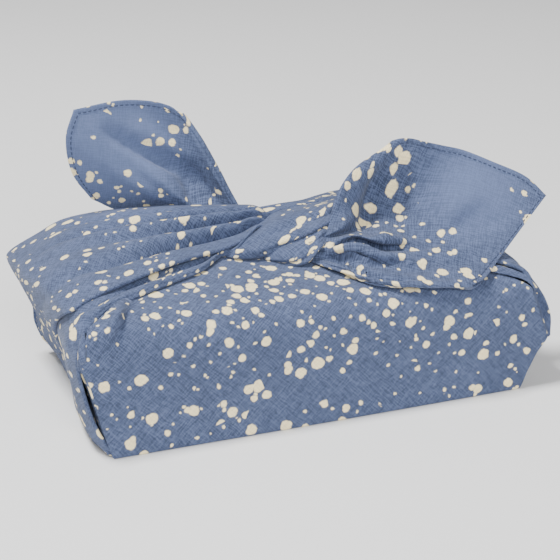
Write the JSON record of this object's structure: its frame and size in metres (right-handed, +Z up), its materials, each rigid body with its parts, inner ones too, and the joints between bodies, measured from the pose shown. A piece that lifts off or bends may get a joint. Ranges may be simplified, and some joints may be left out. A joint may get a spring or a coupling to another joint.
{
  "type": "furoshiki wrap",
  "caption": "Square spattered blue cloth tied round a flat box-shaped parcel, its side corners gathered over the ends into a half knot on top with the tips standing free",
  "frame": {"origin": "centre of the flat base, on the surface the parcel stands on", "axes": "+X along the parcel's long side to the viewer's right, +Y from front to back, +Z up"},
  "size_m": [0.2713, 0.1437, 0.1431],
  "materials": {
    "blue_cloth": "matte woven, cream spatter"
  },
  "bodies": {
    "root": {"furoshiki_cloth": "blue_cloth"}
  },
  "joints": []
}
